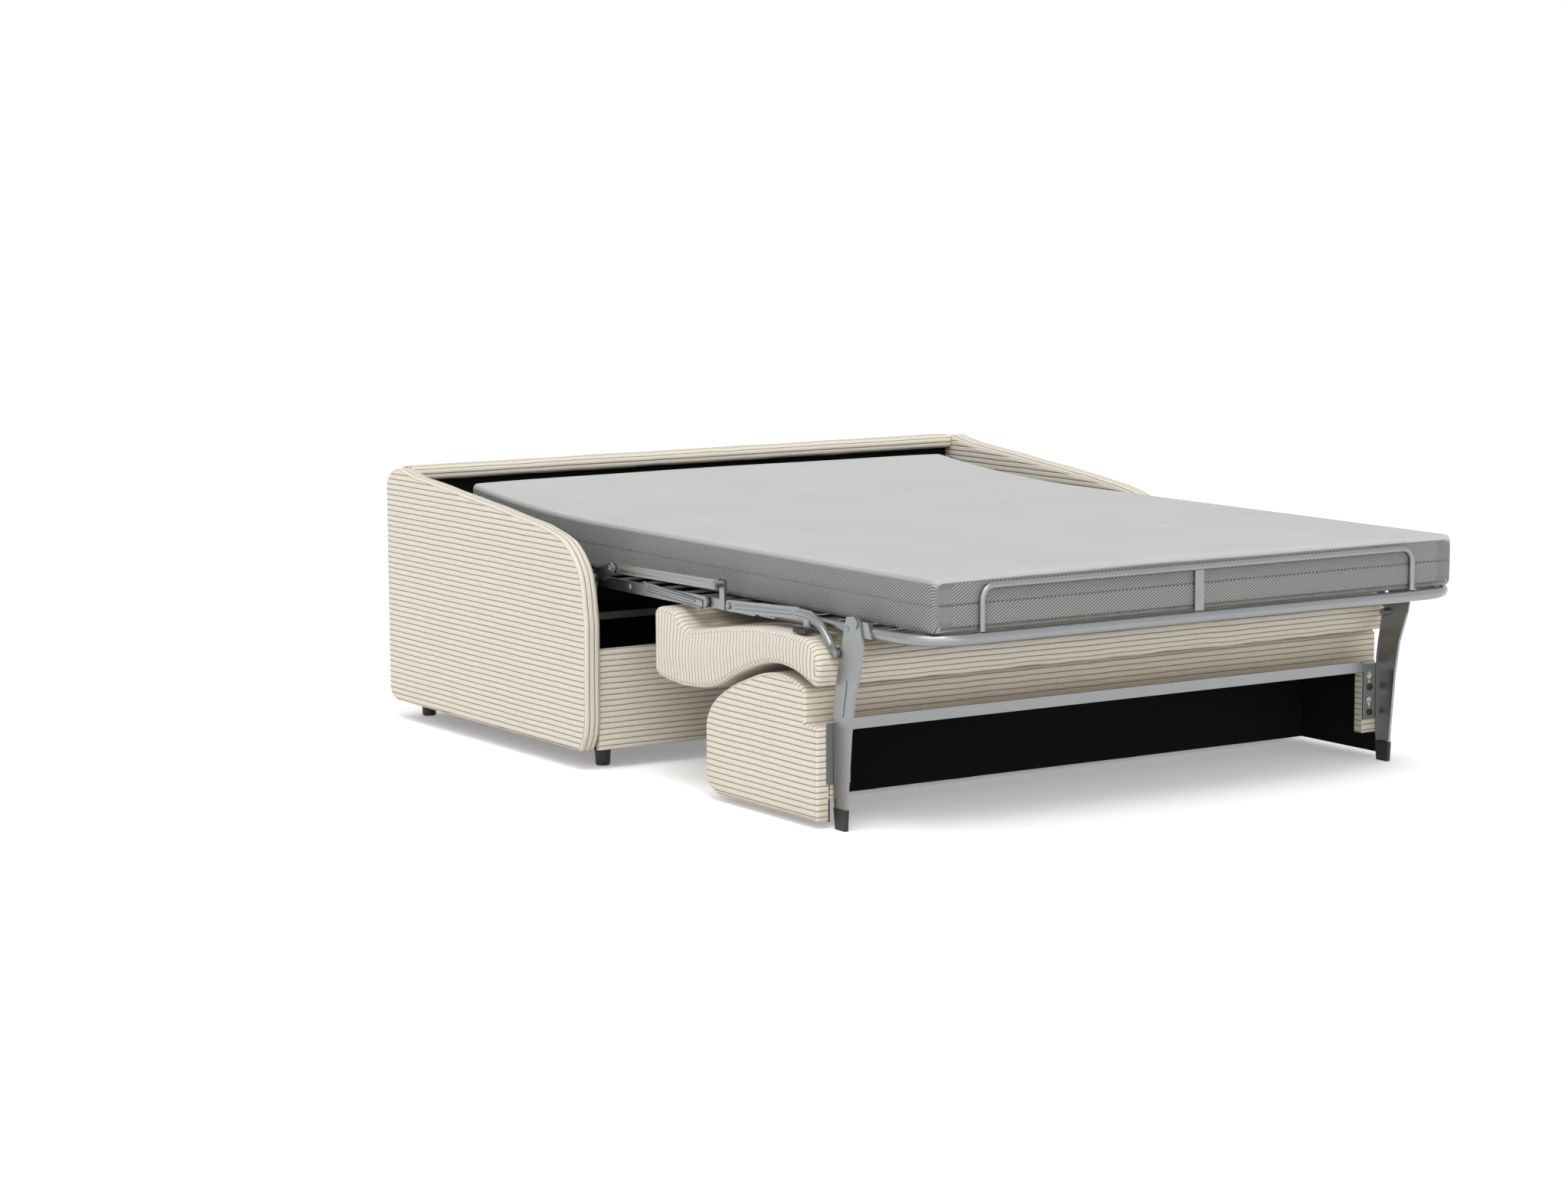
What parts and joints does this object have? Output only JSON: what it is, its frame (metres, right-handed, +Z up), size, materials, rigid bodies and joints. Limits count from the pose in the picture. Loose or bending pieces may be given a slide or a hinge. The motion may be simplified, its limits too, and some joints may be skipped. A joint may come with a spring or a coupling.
{
  "type": "sleeper sofa with pull out bed",
  "caption": "Two-seat corduroy sleeper sofa with its bed unfolded over the front on folding steel legs.",
  "frame": {"origin": "on the floor, under the middle of the opened sofa", "axes": "+Z up, +Y toward the back of the sofa, -Y toward the foot of the bed, +X to the right seen from the foot"},
  "size_m": [1.702, 2.132, 0.623],
  "materials": {
    "corduroy": "wide ribbed corduroy",
    "knit": "pale grey knitted ticking",
    "steel": "satin zinc",
    "black_cloth": "matt black lining cloth",
    "black_plastic": "matt moulded"
  },
  "bodies": {
    "base": {"right_arm": "corduroy", "left_arm": "corduroy", "back_panel": "corduroy", "front_panel": "corduroy", "base_floor": "black_cloth", "right_lining": "black_cloth", "left_lining": "black_cloth", "back_lining": "black_cloth", "right_front_foot": "black_plastic", "left_front_foot": "black_plastic", "right_back_foot": "black_plastic", "left_back_foot": "black_plastic", "right_mount_plate": "steel", "left_mount_plate": "steel"},
    "carrier": {"right_carrier_arm": "steel", "left_carrier_arm": "steel", "torsion_bar": "steel"},
    "upper_links": {"right_upper_link": "steel", "left_upper_link": "steel"},
    "mid": {"mid_frame": "steel", "right_lower_channel": "steel", "left_lower_channel": "steel", "mid_mattress": "knit"},
    "head": {"head_frame": "steel", "head_mattress": "knit"},
    "fold": {"fold_frame": "steel", "fold_mattress": "knit"},
    "foot": {"foot_frame": "steel", "mattress_hoop": "steel", "foot_mattress": "knit"},
    "legs": {"right_leg": "steel", "left_leg": "steel", "right_leg_boot": "black_plastic", "left_leg_boot": "black_plastic", "right_keyhole_bracket": "steel", "left_keyhole_bracket": "steel", "leg_bar": "steel", "backrest": "corduroy", "backrest_lining": "black_cloth"},
    "seat": {"seat_cushion": "corduroy", "right_seat_spacer": "black_plastic", "left_seat_spacer": "black_plastic", "right_bent_link": "steel", "left_bent_link": "steel"}
  },
  "joints": [
    {"name": "bed_fold", "type": "hinge", "parent": "base", "child": "carrier", "pos_m": [0, 0.298, 0.125], "axis": [-1, 0, 0], "range_deg": [0, 117.15]},
    {"name": "mid_level", "type": "hinge", "parent": "carrier", "child": "mid", "pos_m": [0, 0.181, 0.432], "axis": [-1, 0, 0], "range_deg": [-117.15, 0]},
    {"name": "upper_link_swing", "type": "hinge", "parent": "carrier", "child": "upper_links", "pos_m": [0, 0.104, 0.46], "axis": [-1, 0, 0], "range_deg": [-119.2, 0]},
    {"name": "head_fold", "type": "hinge", "parent": "mid", "child": "head", "pos_m": [0, 0.386, 0.421], "axis": [-1, 0, 0], "range_deg": [-90, 0], "deforming": ["head_mattress", "mid_mattress"]},
    {"name": "fold_section_turn", "type": "hinge", "parent": "mid", "child": "fold", "pos_m": [0, -0.261, 0.421], "axis": [-1, 0, 0], "range_deg": [0, 90], "deforming": ["fold_mattress"]},
    {"name": "foot_section_turn", "type": "hinge", "parent": "fold", "child": "foot", "pos_m": [0, -0.449, 0.421], "axis": [-1, 0, 0], "range_deg": [0, 90], "deforming": ["foot_mattress"]},
    {"name": "leg_swing", "type": "hinge", "parent": "foot", "child": "legs", "pos_m": [0, -0.84, 0.438], "axis": [-1, 0, 0], "range_deg": [0, 90]},
    {"name": "seat_turn", "type": "hinge", "parent": "legs", "child": "seat", "pos_m": [0, -0.776, 0.37], "axis": [-1, 0, 0], "range_deg": [-90, 0]}
  ],
  "couplings": [
    {"joint": "mid_level", "follows": "bed_fold", "ratio": -1},
    {"joint": "upper_link_swing", "follows": "bed_fold", "ratio": -1.017},
    {"joint": "head_fold", "follows": "bed_fold", "ratio": -0.76824},
    {"joint": "fold_section_turn", "follows": "bed_fold", "ratio": 0.76824},
    {"joint": "foot_section_turn", "follows": "bed_fold", "ratio": 0.76824},
    {"joint": "leg_swing", "follows": "bed_fold", "ratio": 0.76824},
    {"joint": "seat_turn", "follows": "bed_fold", "ratio": -0.76824}
  ]
}
